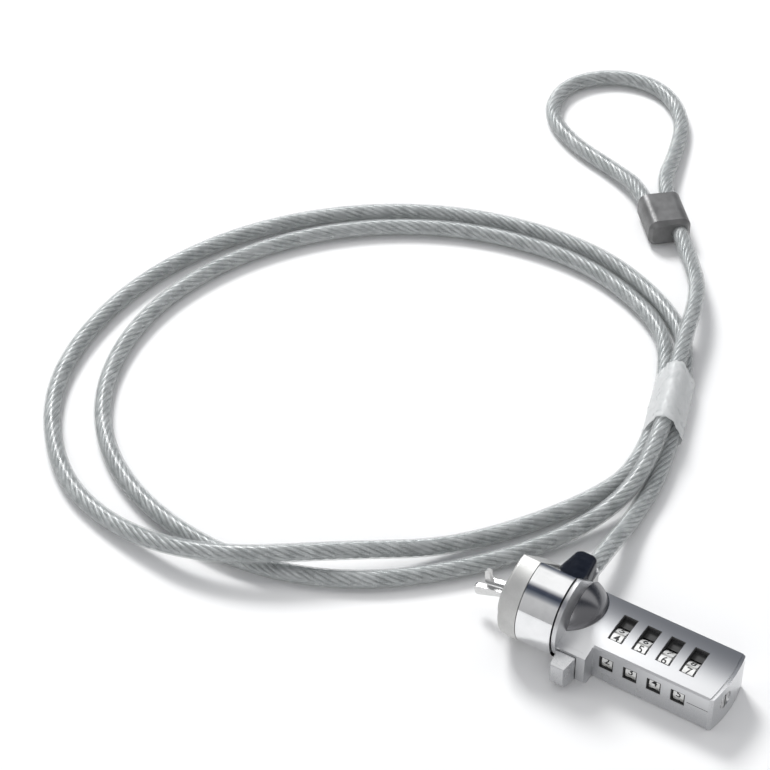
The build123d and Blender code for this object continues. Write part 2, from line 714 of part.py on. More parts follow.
def in_ferrule(side, distance):
    """A point on a bore of the ferrule, at a distance past its middle."""
    place = Vector(*FERRULE_CENTRE) + along(FERRULE_HEADING) * distance
    place = place + across(FERRULE_HEADING) * side * FERRULE_BORE_DX
    return (place.X, place.Y, FERRULE_Z)


LOW, HIGH = TIE_STRAND_Z
ROUTE = [
    (SWIVEL_X, SWIVEL_END_Y, EXIT_Z),
    (SWIVEL_X, 24.0, EXIT_Z),
    (-29.0, 38.5, LIE),
    in_tie(TIE_RIGHT, -21.0, LOW),
    in_tie(TIE_RIGHT, 22.3, LOW),
    (-60.5, 114.0, LIE),
    (-87.5, 123.6, LIE),
    (-122.8, 118.7, LIE),
    (-153.2, 100.4, LIE),
    (-174.2, 72.1, LIE),
    (-182.9, 37.9, LIE),
    (-176.6, 1.9, LIE),
    (-154.6, -23.0, LIE),
    (-131.0, -30.6, LIE),
    (-104.0, -29.6, 7.4),
    (-78.0, -10.5, 7.4),
    (-59.5, 8.0, LIE),
    (-41.4, 35.8, LIE),
    in_tie(TIE_LEFT, -21.0, LOW),
    in_tie(TIE_LEFT, 21.0, LOW),
    (-63.2, 109.4, LIE),
    (-89.0, 117.6, LIE),
    (-120.9, 112.4, LIE),
    (-148.6, 94.9, LIE),
    (-167.1, 67.7, LIE),
    (-173.0, 35.7, LIE),
    (-163.4, 3.9, LIE),
    (-140.0, -17.4, LIE),
    (-107.2, -24.9, LIE),
    (-76.6, -17.0, LIE),
    (-51.7, 5.2, LIE),
    (-35.4, 31.6, 3.0),
    in_tie(TIE_TOP, -24.5, HIGH),
    in_tie(TIE_TOP, 20.0, HIGH),
    (-51.7, 116.6, HIGH),
    in_ferrule(1, -19.0),
    in_ferrule(1, 14.0),
    (-87.4, 173.0, LIE),
    (-93.5, 189.5, LIE),
    (-106.0, 199.5, LIE),
    (-121.0, 197.5, LIE),
    (-130.5, 185.5, LIE),
    (-127.5, 170.5, LIE),
    (-114.5, 161.5, LIE),
    (-98.5, 157.0, LIE),
    in_ferrule(-1, 13.0),
    in_ferrule(-1, -4.0),
]
# A length of cable starts halfway along the run that leaves the point with this index.
CUTS = {
    "cable_lead": 0,
    "cable_outer_turn": 6,
    "cable_inner_turn": 20,
    "cable_tail": 31,
    "cable_loop": 36,
}


def corner_radius(index):
    """Radius at a point of the route: as large as its two runs allow."""
    before, here, after = (Vector(*ROUTE[index + step]) for step in (-1, 0, 1))
    half_turn = math.radians((here - before).get_angle(after - here)) / 2
    run = min((here - before).length, (after - here).length)
    return 0.45 * run / math.tan(half_turn)


def halfway(index):
    """The middle of the run that leaves a point of the route."""
    start, end = Vector(*ROUTE[index]), Vector(*ROUTE[index + 1])
    return (start + end) * 0.5


def cable_length(first, last, node):
    """One tube of the cable between two runs of the route, with its volume checked."""
    start = Vector(*ROUTE[0]) if first == 0 else halfway(first)
    end = Vector(*ROUTE[-1]) if last is None else halfway(last)
    stop = len(ROUTE) - 1 if last is None else last + 1
    corners = range(first + 1, stop)
    radii = [corner_radius(index) for index in corners]
    with BuildPart() as tube:
        with BuildLine() as path:
            FilletPolyline(start, *[ROUTE[index] for index in corners], end, radius=radii)
        with BuildSketch(Plane(origin=path.line @ 0, z_dir=path.line % 0)):
            Circle(CABLE_R)
        sweep(path=path.line)
    length = sum(edge.length for edge in path.line.edges())
    expected = length * math.pi * CABLE_R**2
    print(node, "length", round(length, 1), "volume share", round(tube.part.volume / expected, 4))
    print("  radii", [round(radius, 1) for radius in radii])
    return tube.part


starts = list(CUTS.items())
for place, (node, first) in enumerate(starts):
    last = starts[place + 1][1] if place + 1 < len(starts) else None
    save(cable_length(first, last, node), node)

with BuildPart() as cable_tie:
    mouth = Vector(*TIE_CENTRE) + along(TIE_HEADING) * (TIE_LENGTH / 2)
    section = Plane(origin=mouth, x_dir=across(TIE_HEADING), z_dir=along(TIE_HEADING) * -1)
    for radius, mode in ((CABLE_R + 0.5, Mode.ADD), (CABLE_R + 0.15, Mode.SUBTRACT)):
        with BuildSketch(section) as sleeve:
            with BuildLine():
                for x, z in ((-TIE_STRAND_DX, LOW), (TIE_STRAND_DX, LOW), (0, HIGH)):
                    CenterArc((x, z), radius, 0, 360)
            make_hull()
        extrude(amount=TIE_LENGTH, mode=mode)
save(cable_tie.part, "cable_tie")

with BuildPart() as cable_ferrule:
    length, width, height = FERRULE
    back = Vector(*FERRULE_CENTRE) + along(FERRULE_HEADING) * (length / 2)
    end_plane = Plane(origin=back, x_dir=across(FERRULE_HEADING), z_dir=along(FERRULE_HEADING) * -1)
    with BuildSketch(end_plane):
        with Locations((0, height / 2)):
            RectangleRounded(width, height, 2.6)
    extrude(amount=length)
    chamfer(cable_ferrule.faces().sort_by(Axis(back, along(FERRULE_HEADING)))[0].edges(), 1.0)
    chamfer(cable_ferrule.faces().sort_by(Axis(back, along(FERRULE_HEADING)))[-1].edges(), 1.0)
    with BuildSketch(end_plane):
        with Locations((FERRULE_BORE_DX, FERRULE_Z)):
            Circle(CABLE_R)
    extrude(amount=length, mode=Mode.SUBTRACT)
    with BuildSketch(end_plane):
        with Locations((-FERRULE_BORE_DX, FERRULE_Z)):
            Circle(CABLE_R)
    extrude(amount=length / 2 + 4.0, mode=Mode.SUBTRACT)
save(cable_ferrule.part, "cable_ferrule")
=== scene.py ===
import json
import math

import bmesh
import bpy
from mathutils import Euler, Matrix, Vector, noise


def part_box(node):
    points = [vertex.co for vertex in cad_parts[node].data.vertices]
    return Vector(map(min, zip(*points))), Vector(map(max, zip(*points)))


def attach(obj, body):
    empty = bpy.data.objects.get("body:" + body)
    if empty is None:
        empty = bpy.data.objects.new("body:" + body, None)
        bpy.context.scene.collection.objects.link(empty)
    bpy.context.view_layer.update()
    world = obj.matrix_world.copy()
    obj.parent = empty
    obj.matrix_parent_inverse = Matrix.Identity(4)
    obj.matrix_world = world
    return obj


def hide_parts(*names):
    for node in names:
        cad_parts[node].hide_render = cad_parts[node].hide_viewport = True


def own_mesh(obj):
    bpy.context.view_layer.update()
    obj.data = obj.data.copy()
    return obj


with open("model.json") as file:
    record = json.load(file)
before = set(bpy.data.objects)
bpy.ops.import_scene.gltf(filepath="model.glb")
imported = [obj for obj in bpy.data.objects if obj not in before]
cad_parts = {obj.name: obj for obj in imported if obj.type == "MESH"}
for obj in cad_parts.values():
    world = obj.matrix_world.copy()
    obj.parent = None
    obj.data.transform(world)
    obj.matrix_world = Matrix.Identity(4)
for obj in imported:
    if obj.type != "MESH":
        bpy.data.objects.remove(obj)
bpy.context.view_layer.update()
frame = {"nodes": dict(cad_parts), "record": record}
NODES = frame["nodes"]
MM = 0.001

# ---------------------------------------------------------------- camera

CAMERA_AZIMUTH = math.radians(32.575)
CAMERA_ELEVATION = math.radians(42.221)
CAMERA_DISTANCE = 0.6193
CAMERA_TARGET = Vector((-0.10578, 0.04906, 0.0))
CAMERA_LENS = 113.9

# ---------------------------------------------------------------- cable

CABLE_D = 4.5 * MM
LIE = 2.25
TIE_CENTRE = Vector((-39.6, 77.0, 0.0))
TIE_HEADING = math.radians(108.5)
TIE_STRAND_DX = 2.4
TIE_LENGTH = 21.0
LOW, HIGH = 2.8, 7.3
FERRULE_CENTRE = Vector((-75.9, 143.3, 0.0))
FERRULE_HEADING = math.radians(132.0)
FERRULE_BORE_DX = 2.7
FERRULE_Z = 4.0


def beside(centre, heading, side, distance, z):
    """A point in millimetres: to the right of a heading by side, and along it by distance."""
    along = Vector((math.cos(heading), math.sin(heading), 0))
    across = Vector((math.sin(heading), -math.cos(heading), 0))
    place = centre + across * side + along * distance
    return (place.x, place.y, z)


def in_tie(side, distance, z):
    return beside(TIE_CENTRE, TIE_HEADING, side * TIE_STRAND_DX, distance, z)


def in_ferrule(side, distance):
    return beside(FERRULE_CENTRE, FERRULE_HEADING, side * FERRULE_BORE_DX, distance, FERRULE_Z)


# The cable's route in millimetres, with the same points as the CAD tubes.
ROUTE = [
    (-27.4, 13.2, 7.0),
    (-27.4, 24.0, 7.0),
    (-29.0, 38.5, LIE),
    in_tie(1, -21.0, LOW),
    in_tie(1, 22.3, LOW),
    (-60.5, 114.0, LIE),
    (-87.5, 123.6, LIE),
    (-122.8, 118.7, LIE),
    (-153.2, 100.4, LIE),
    (-174.2, 72.1, LIE),
    (-182.9, 37.9, LIE),
    (-176.6, 1.9, LIE),
    (-154.6, -23.0, LIE),
    (-131.0, -30.6, LIE),
    (-104.0, -29.6, 7.4),
    (-78.0, -10.5, 7.4),
    (-59.5, 8.0, LIE),
    (-41.4, 35.8, LIE),
    in_tie(-1, -21.0, LOW),
    in_tie(-1, 21.0, LOW),
    (-63.2, 109.4, LIE),
    (-89.0, 117.6, LIE),
    (-120.9, 112.4, LIE),
    (-148.6, 94.9, LIE),
    (-167.1, 67.7, LIE),
    (-173.0, 35.7, LIE),
    (-163.4, 3.9, LIE),
    (-140.0, -17.4, LIE),
    (-107.2, -24.9, LIE),
    (-76.6, -17.0, LIE),
    (-51.7, 5.2, LIE),
    (-35.4, 31.6, 3.0),
    in_tie(0, -24.5, HIGH),
    in_tie(0, 20.0, HIGH),
    (-51.7, 116.6, HIGH),
    in_ferrule(1, -19.0),
    in_ferrule(1, 14.0),
    (-87.4, 173.0, LIE),
    (-93.5, 189.5, LIE),
    (-106.0, 199.5, LIE),
    (-121.0, 197.5, LIE),
    (-130.5, 185.5, LIE),
    (-127.5, 170.5, LIE),
    (-114.5, 161.5, LIE),
    (-98.5, 157.0, LIE),
    in_ferrule(-1, 13.0),
    in_ferrule(-1, -4.0),
]
CABLE_NODES = ["cable_lead", "cable_outer_turn", "cable_inner_turn", "cable_tail", "cable_loop"]


# ---------------------------------------------------------------- material helpers


class Paint:
    """A node material built step by step round one Principled shader."""

    def __init__(self, name, color, metallic=0.0, roughness=0.5):
        self.material = bpy.data.materials.new(name)
        self.material.use_nodes = True
        self.tree = self.material.node_tree
        self.shader = self.tree.nodes["Principled BSDF"]
        self.shader.inputs["Base Color"].default_value = (*color, 1)
        self.shader.inputs["Metallic"].default_value = metallic
        self.shader.inputs["Roughness"].default_value = roughness
        self.bump = None

    def add(self, kind, **settings):
        node = self.tree.nodes.new(kind)
        for key, value in settings.items():
            setattr(node, key, value)
        return node

    def link(self, source, target):
        self.tree.links.new(source, target)

    def place(self, stretch=(1, 1, 1)):
        """Row-frame coordinates, stretched."""
        coordinates = self.add("ShaderNodeTexCoord")
        mapping = self.add("ShaderNodeMapping")
        mapping.inputs["Scale"].default_value = stretch
        self.link(coordinates.outputs["Object"], mapping.inputs["Vector"])
        return mapping.outputs["Vector"]

    def noise(self, scale, detail=4.0, stretch=(1, 1, 1), distortion=0.0):
        node = self.add("ShaderNodeTexNoise")
        node.inputs["Scale"].default_value = scale
        node.inputs["Detail"].default_value = detail
        node.inputs["Distortion"].default_value = distortion
        self.link(self.place(stretch), node.inputs["Vector"])
        return node.outputs["Fac"]

    def spread(self, value, low, high, from_low=0.35, from_high=0.65):
        """A value mapped to a range."""
        node = self.add("ShaderNodeMapRange")
        node.inputs["From Min"].default_value = from_low
        node.inputs["From Max"].default_value = from_high
        node.inputs["To Min"].default_value = low
        node.inputs["To Max"].default_value = high
        self.link(value, node.inputs["Value"])
        return node.outputs["Result"]

    def mix(self, factor, first, second):
        """A colour between two, by a factor."""
        node = self.add("ShaderNodeMix", data_type="RGBA")
        self.link(factor, node.inputs["Factor"])
        node.inputs["A"].default_value = (*first, 1)
        node.inputs["B"].default_value = (*second, 1)
        return node.outputs["Result"]

    def color(self, output):
        self.link(output, self.shader.inputs["Base Color"])
        return self

    def rough(self, output):
        self.link(output, self.shader.inputs["Roughness"])
        return self

    def relief(self, output, distance, strength=1.0):
        """Adds a height, in metres, to the surface's bump."""
        node = self.add("ShaderNodeBump")
        node.inputs["Distance"].default_value = distance
        node.inputs["Strength"].default_value = strength
        self.link(output, node.inputs["Height"])
        if self.bump:
            self.link(self.bump.outputs["Normal"], node.inputs["Normal"])
        self.link(node.outputs["Normal"], self.shader.inputs["Normal"])
        self.bump = node
        return self


def satin_silver():
    """Fine metallic paint over a die casting: tiny flakes, faint flow and a soft sheen."""
    paint = Paint("satin_silver", (0.60, 0.61, 0.62), 1.0, 0.30)
    flakes = paint.noise(5200, 2.0)
    cloud = paint.noise(130, 3.0)
    paint.color(paint.mix(paint.spread(flakes, 0, 1), (0.56, 0.57, 0.585), (0.68, 0.68, 0.685)))
    paint.rough(paint.spread(cloud, 0.26, 0.34))
    paint.relief(flakes, 0.00001, 0.35)
    return paint.material


DOME_CENTRE = (-25.1 * MM, 0.7 * MM, 7.5 * MM)
# The band of radii where the dome's painted dark reflection fades into the shell's silver, and
# where its polish ends.
DOME_POLISH_AND_DARK_REFLECTION_EDGE = (9.12 * MM, 9.35 * MM)


def shell_silver():
    """The satin silver of the upper shell, polished over its dome, where the colour is near black:
    a painted dark reflection.
    """
    paint = Paint("shell_silver", (0.60, 0.61, 0.62), 1.0, 0.30)
    flakes = paint.noise(5200, 2.0)
    reach = paint.add("ShaderNodeVectorMath", operation="DISTANCE")
    reach.inputs[1].default_value = DOME_CENTRE
    paint.link(paint.place(), reach.inputs[0])
    body = paint.spread(reach.outputs["Value"], 0, 1, *DOME_POLISH_AND_DARK_REFLECTION_EDGE)
    # Inside the dome the base colour is near black, a painted dark reflection on the polished dome;
    # it fades to satin silver across the dome's edge.
    paint.color(paint.mix(body, (0.20, 0.20, 0.21), (0.62, 0.625, 0.635)))
    paint.rough(paint.spread(body, 0.24, 0.29, 0, 1))
    paint.relief(flakes, 0.00001, 0.3)
    return paint.material


def chrome():
    """Mirror plating with the slightest waviness and handling haze."""
    paint = Paint("polished_chrome", (0.86, 0.865, 0.87), 1.0, 0.06)
    haze = paint.noise(260, 5.0, distortion=0.6)
    paint.rough(paint.spread(haze, 0.045, 0.11))
    paint.color(paint.mix(paint.spread(haze, 0, 1), (0.82, 0.825, 0.83), (0.88, 0.885, 0.89)))
    paint.relief(paint.noise(90, 1.0), 0.00003, 0.3)
    return paint.material


def pewter():
    """Bead-blasted zinc: matte, with a fine even grain."""
    paint = Paint("pewter", (0.55, 0.55, 0.54), 0.8, 0.5)
    grain = paint.noise(2600, 3.0)
    cloud = paint.noise(150, 3.0)
    paint.color(paint.mix(paint.spread(cloud, 0, 1), (0.50, 0.50, 0.49), (0.60, 0.60, 0.59)))
    paint.rough(paint.spread(grain, 0.42, 0.58))
    paint.relief(grain, 0.00004, 0.5)
    return paint.material


def steel(name, color, roughness, along=(1, 14, 14)):
    """Turned or ground steel with fine lines."""
    paint = Paint(name, color, 1.0, roughness)
    lines = paint.noise(900, 4.0, along)
    light = tuple(min(1, channel * 1.12) for channel in color)
    dark = tuple(channel * 0.85 for channel in color)
    paint.color(paint.mix(paint.spread(lines, 0, 1), dark, light))
    paint.rough(paint.spread(lines, roughness * 0.8, roughness * 1.25))
    paint.relief(lines, 0.00002, 0.5)
    return paint.material


def dial_metal():
    """Pale plated dials with turned rings and darker patches of wear at random."""
    paint = Paint("dial_metal", (0.82, 0.82, 0.81), 0.25, 0.38)
    rings = paint.noise(900, 3.0, (6, 1, 1))
    wear = paint.noise(700, 4.0)
    paint.color(paint.mix(paint.spread(wear, 0, 1), (0.74, 0.74, 0.72), (0.88, 0.88, 0.87)))
    paint.rough(paint.spread(rings, 0.30, 0.46))
    paint.relief(rings, 0.00002, 0.4)
    return paint.material


def plastic(name, color, roughness, grain_scale=1800, speck=0.25):
    """Moulded plastic with a fine texture."""
    paint = Paint(name, color, 0.0, roughness)
    grain = paint.noise(grain_scale, 3.0)
    light = tuple(min(1, channel * (1 + speck) + 0.004) for channel in color)
    paint.color(paint.mix(paint.spread(grain, 0, 1), color, light))
    paint.rough(paint.spread(paint.noise(200, 3.0), roughness * 0.85, roughness * 1.2))
    paint.relief(grain, 0.00002, 0.5)
    return paint.material


def clear_sleeve():
    """Clear soft vinyl over the rope: milky, glossy, and seen through."""
    paint = Paint("clear_sleeve", (0.62, 0.64, 0.64), 0.0, 0.18)
    paint.shader.inputs["Alpha"].default_value = 0.36
    paint.shader.inputs["IOR"].default_value = 1.5
    cloud = paint.noise(220, 3.0)
    paint.color(paint.mix(paint.spread(cloud, 0, 1), (0.55, 0.575, 0.575), (0.66, 0.68, 0.68)))
    paint.rough(paint.spread(cloud, 0.14, 0.26))
    return paint.material


def wire_rope():
    """Galvanised wire: bright along each wire, dull in the lay's valleys."""
    paint = Paint("wire_rope", (0.42, 0.44, 0.43), 0.6, 0.36)
    spots = paint.noise(420, 4.0)
    wires = paint.noise(1900, 3.0)
    paint.color(paint.mix(paint.spread(spots, 0, 1), (0.28, 0.30, 0.30), (0.56, 0.58, 0.58)))
    paint.rough(paint.spread(spots, 0.30, 0.45))
    paint.relief(wires, 0.00006, 0.6)
    return paint.material


def tie_film():
    """Thin milky film wrapped round the three strands."""
    paint = Paint("tie_film", (0.86, 0.87, 0.87), 0.0, 0.35)
    paint.shader.inputs["Alpha"].default_value = 0.5
    creases = paint.noise(300, 5.0, distortion=1.2)
    # The colour follows the crease bump: darker in the crease hollows and lighter on the ridges, a
    # painted crease shade and highlight.
    paint.color(paint.mix(paint.spread(creases, 0, 1), (0.80, 0.82, 0.82), (0.92, 0.93, 0.93)))
    paint.rough(paint.spread(creases, 0.26, 0.45))
    paint.relief(creases, 0.0002, 0.4)
    return paint.material


def ferrule_skin():
    """Satin dark grey moulding over the crimp, lighter where it has been rubbed."""
    paint = Paint("ferrule_grey", (0.16, 0.16, 0.16), 0.35, 0.42)
    grain = paint.noise(1500, 3.0)
    cloud = paint.noise(180, 3.0)
    paint.color(paint.mix(paint.spread(cloud, 0, 1), (0.13, 0.13, 0.13), (0.20, 0.20, 0.20)))
    paint.rough(paint.spread(grain, 0.36, 0.5))
    paint.relief(grain, 0.00003, 0.4)
    return paint.material


SKINS = {
    "satin_silver": satin_silver(),
    "polished_chrome": chrome(),
    "pewter": pewter(),
    "steel": steel("bright_steel", (0.66, 0.66, 0.655), 0.26),
    "dark_steel": steel("dark_steel", (0.26, 0.26, 0.265), 0.36),
    "dial_metal": dial_metal(),
    "sleeve_brass": steel("sleeve_brass", (0.66, 0.50, 0.24), 0.3),
    "black_gloss": plastic("black_gloss", (0.006, 0.008, 0.014), 0.14, 900, 0.4),
    # inner_black is the black of the window linings, a painted shade, and of the shell seam, a dark
    # joint.
    "inner_black": plastic("inner_black", (0.02, 0.02, 0.02), 0.55),
    "cable_sleeve": clear_sleeve(),
    "tie_film": tie_film(),
    "ferrule_grey": ferrule_skin(),
}
SHELL = shell_silver()
ROPE = wire_rope()
INK = plastic("dial_ink", (0.008, 0.008, 0.009), 0.5, 2400)

for entry in frame["record"]["subparts"]:
    node = NODES[entry["node"]]
    node.data.materials.clear()
    node.data.materials.append(SKINS[entry["material_slot"]])
NODES["upper_shell"].data.materials[0] = SHELL


def piece(name, mesh_or_curve, material, body):
    """A new object that rides on a body."""
    item = bpy.data.objects.new(name, mesh_or_curve)
    bpy.context.scene.collection.objects.link(item)
    item.data.materials.append(material)
    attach(item, body)
    return item


def mesh_from(work, name, smooth=True):
    """A mesh from a bmesh."""
    mesh = bpy.data.meshes.new(name)
    bmesh.ops.recalc_face_normals(work, faces=work.faces)
    work.to_mesh(mesh)
    work.free()
    if smooth:
        mesh.shade_smooth()
    return mesh


# ---------------------------------------------------------------- cable pieces


def route_curve(name, bevel):
    """The route as a smooth curve, in metres."""
    curve = bpy.data.curves.new(name, "CURVE")
    curve.dimensions = "3D"
    curve.resolution_u = 24
    curve.bevel_depth = bevel
    curve.bevel_resolution = 6
    curve.use_fill_caps = True
    spline = curve.splines.new("NURBS")
    spline.points.add(len(ROUTE) - 1)
    for point, place in zip(spline.points, ROUTE):
        point.co = (*(Vector(place) * MM), 1)
    spline.order_u = 3
    spline.use_endpoint_u = True
    return curve


def centreline():
    """Points along the route's smooth curve."""
    curve = route_curve("cable_centreline", 0)
    probe = bpy.data.objects.new("cable_centreline", curve)
    mesh = bpy.data.meshes.new_from_object(probe)
    points = [vertex.co.copy() for vertex in mesh.vertices]
    bpy.data.objects.remove(probe)
    bpy.data.curves.remove(curve)
    bpy.data.meshes.remove(mesh)
    return points


def evenly(points, step):
    """The same line in equal steps."""
    spaced = [points[0]]
    left = step
    for start, end in zip(points, points[1:]):
        span = (end - start).length
        done = 0.0
        while span - done >= left:
            done += left
            spaced.append(start.lerp(end, done / span))
            left = step
        left -= span - done
    spaced.append(points[-1])
    return spaced


def frames_along(points):
    """A point, side and up for each point, turned as little as the line allows."""
    frames = []
    side = Vector((0, 0, 1)).cross(points[1] - points[0]).normalized()
    for index, point in enumerate(points):
        ahead = points[min(index + 1, len(points) - 1)]
        behind = points[max(index - 1, 0)]
        along = (ahead - behind).normalized()
        side = (side - along * side.dot(along)).normalized()
        frames.append((point, side, along.cross(side)))
    return frames


STRANDS = 8
CORE = STRANDS
STRAND_LAY = 21 * MM
STRAND_R = 0.52 * MM
STRAND_CENTRE_R = 1.44 * MM
CORE_R = 1.0 * MM
STRAND_SIDES = 8


def rope_mesh(frames, step):
    """Strands laid right-handed round a core."""
    work = bmesh.new()
    for strand in range(STRANDS + 1):
        rings = []
        core = strand == CORE
        radius = CORE_R if core else STRAND_R
        for index, (point, side, up) in enumerate(frames):
            angle = 2 * math.pi * (strand / STRANDS + index * step / STRAND_LAY)
            out = side * math.cos(angle) + up * math.sin(angle)
            centre = point if core else point + out * STRAND_CENTRE_R
            ring = []
            for corner in range(STRAND_SIDES):
                turn = 2 * math.pi * corner / STRAND_SIDES + angle
                offset = side * math.cos(turn) + up * math.sin(turn)
                ring.append(work.verts.new(centre + offset * radius))
            rings.append(ring)
        for low, high in zip(rings, rings[1:]):
            for corner in range(STRAND_SIDES):
                after = (corner + 1) % STRAND_SIDES
                work.faces.new((low[corner], low[after], high[after], high[corner]))
        work.faces.new(rings[0])
        work.faces.new(reversed(rings[-1]))
    return mesh_from(work, "cable_rope")


ROPE_STEP = 1.1 * MM
line = evenly(centreline(), ROPE_STEP)
rope = piece("cable_rope", rope_mesh(frames_along(line), ROPE_STEP), ROPE, "swivel")

FILM_CLEARANCE = 0.28
FILM_CREASE = 0.3
FILM_RINGS = 27
FILM_FLOOR = 0.12
FILM_STEPS = 180
FILM_SPACING = 0.42
FILM_THICKNESS = 0.1 * MM


def film_outline():
    """The line that a film takes round the tie's three strands, as (right, up) in millimetres."""
    strands = [Vector((-TIE_STRAND_DX, LOW)), Vector((TIE_STRAND_DX, LOW)), Vector((0, HIGH))]
    radius = LIE + FILM_CLEARANCE
    corners = []
    for step in range(FILM_STEPS):
        angle = 2 * math.pi * step / FILM_STEPS
        out = Vector((math.cos(angle), math.sin(angle)))
        strand = max(strands, key=out.dot)
        corners.append((strand + out * radius).to_3d())
    return evenly(corners + corners[:1], FILM_SPACING)[:-1]


def film_mesh():
    """A thin film wrapped round the tie's strands, with creases that run along and across it."""
    work = bmesh.new()
    outline = film_outline()
    rings = []
    for index in range(FILM_RINGS):
        share = index / (FILM_RINGS - 1) - 0.5
        ring = []
        for corner in outline:
            out = Vector((corner.x, corner.y - (LOW + HIGH) / 2, 0)).normalized()
            fold = noise.noise(Vector((corner.x * 0.55, corner.y * 0.55, share * 9)))
            ripple = noise.noise(Vector((corner.x * 1.6, corner.y * 1.6, share * 22 + 7)))
            grow = FILM_CREASE * (abs(fold) * 1.5 + abs(ripple) * 0.6)
            place = corner + out * grow
            ragged = share * TIE_LENGTH + 0.5 * noise.noise(corner * 0.8) * (2 * share) ** 5
            spot = beside(TIE_CENTRE, TIE_HEADING, place.x, ragged, max(place.y, FILM_FLOOR))
            ring.append(work.verts.new(Vector(spot) * MM))
        rings.append(ring)
    for low, high in zip(rings, rings[1:]):
        for corner in range(len(outline)):
            after = (corner + 1) % len(outline)
            work.faces.new((low[corner], low[after], high[after], high[corner]))
    return mesh_from(work, "tie_wrap")


film = piece("tie_wrap", film_mesh(), SKINS["tie_film"], "swivel")
film.modifiers.new("thickness", "SOLIDIFY").thickness = FILM_THICKNESS
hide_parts("cable_tie")
sleeve = piece(
    "cable_sleeve",
    route_curve("cable_sleeve", CABLE_D / 2),
    SKINS["cable_sleeve"],
    "swivel",
)
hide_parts(*CABLE_NODES)

# ---------------------------------------------------------------- dial digits

DIGITS = 10
DIGIT_HEIGHT = 2.0 * MM
CELL = 2 * math.pi / DIGITS
DIAL_SET_BACK = math.radians(9)
CELL_LINE = 0.2 * MM
INK_PROUD = 0.02 * MM


def digit_outline(text):
    """A flat digit as a mesh, centred, of the dial's digit height."""
    letters = bpy.data.curves.new("digit", "FONT")
    letters.body = text
    letters.align_x = "CENTER"
    letters.size = 1.0
    letters.offset = 0.012
    probe = bpy.data.objects.new("digit", letters)
    mesh = bpy.data.meshes.new_from_object(probe)
    bpy.data.objects.remove(probe)
    bpy.data.curves.remove(letters)
    tops = [vertex.co.y for vertex in mesh.vertices]
    height = max(tops) - min(tops)
    middle = (max(tops) + min(tops)) / 2
    for vertex in mesh.vertices:
        vertex.co = Vector((vertex.co.x, vertex.co.y - middle, 0)) * (DIGIT_HEIGHT / height)
    return mesh


def flat_bar(work, x_range, y_range):
    """A flat rectangle in a few quads, long enough to be wrapped."""
    cuts = 6
    rows = []
    for step in range(cuts + 1):
        y = y_range[0] + (y_range[1] - y_range[0]) * step / cuts
        rows.append([work.verts.new((x, y, 0)) for x in x_range])
    for low, high in zip(rows, rows[1:]):
        work.faces.new((low[0], low[1], high[1], high[0]))


def dial_digits(index):
    """Ten digits in outlined cells, filled in black round a dial and wrapped on its surface."""
    low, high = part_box(f"dial_{index}")
    middle = (low + high) / 2
    radius = (high.z - low.z) / 2 + INK_PROUD
    half_width = (high.x - low.x) / 2
    half_cell = CELL * radius / 2
    work = bmesh.new()
    for digit in range(DIGITS):
        flat = digit_outline(str(digit))
        part = bmesh.new()
        part.from_mesh(flat)
        bmesh.ops.subdivide_edges(part, edges=part.edges, cuts=1, use_grid_fill=False)
        for side in (-1, 1):
            edge = side * (half_width - CELL_LINE)
            flat_bar(part, sorted((edge, edge + side * CELL_LINE)), (-half_cell, half_cell))
        around = CELL * (digit - 3 - index) - DIAL_SET_BACK
        for vertex in part.verts:
            turn = around + vertex.co.y / radius
            vertex.co = Vector(
                (
                    middle.x + vertex.co.x,
                    middle.y + radius * math.sin(turn),
                    middle.z + radius * math.cos(turn),
                )
            )
        part.to_mesh(flat)
        part.free()
        work.from_mesh(flat)
        bpy.data.meshes.remove(flat)
    mesh = mesh_from(work, f"dial_{index}_digits", smooth=False)
    return piece(f"dial_{index}_digits", mesh, INK, f"dial_{index}_set")


for number in range(1, 5):
    dial_digits(number)

# ---------------------------------------------------------------- window linings: black sheets of painted shade

LINING = 0.22 * MM
TOP_WINDOW = (3.6 * MM, 8.1 * MM)
TOP_WINDOW_Y = -0.7 * MM
SIDE_WINDOW = (3.5 * MM, 3.6 * MM)
SIDE_WINDOW_Z = 6.2 * MM
NEAR_FACE_Y = -8.1 * MM
BODY_TOP = 10.7 * MM
LINING_SET_IN = 0.08 * MM
LINING_DEPTH = 1.1 * MM
TOP_END_DEPTH = 0.13 * MM
SIDE_END_DEPTH = 0.5 * MM
MASK_Z = (9.42 * MM, 9.49 * MM)
MASK_FAR_Y = 3.38 * MM
MASK_NEAR_Y = -5.4 * MM
MASK_DIAL_Y = 0.8 * MM
MASK_MARGIN = 0.8 * MM


def block(work, low, high):
    """A box between two corners."""
    places = [
        work.verts.new((x, y, z))
        for x in (low[0], high[0])
        for y in (low[1], high[1])
        for z in (low[2], high[2])
    ]
    for corners in (
        (0, 1, 3, 2), (4, 6, 7, 5), (0, 4, 5, 1), (2, 3, 7, 6), (0, 2, 6, 4), (1, 5, 7, 3)
    ):
        work.faces.new([places[corner] for corner in corners])


def lining(work, centre, size, axis, depth, end_depth):
    """Four walls of painted shade just inside a window that faces an axis, 1 for Y or 2 for Z; two
    are shallower.
    """
    up = 3 - axis
    half_x, half_up = size[0] / 2, size[1] / 2
    walls = (
        (-half_x, -half_x + LINING, -half_up, half_up, depth),
        (half_x - LINING, half_x, -half_up, half_up, depth),
        (-half_x + LINING, half_x - LINING, -half_up, -half_up + LINING, end_depth),
        (-half_x + LINING, half_x - LINING, half_up - LINING, half_up, end_depth),
    )
    for left, right, below, above, reach in walls:
        near, far = sorted((centre[axis], centre[axis] + reach))
        low, high = [0.0] * 3, [0.0] * 3
        low[0], high[0] = centre[0] + left, centre[0] + right
        low[up], high[up] = centre[up] + below, centre[up] + above
        low[axis], high[axis] = near, far
        block(work, low, high)


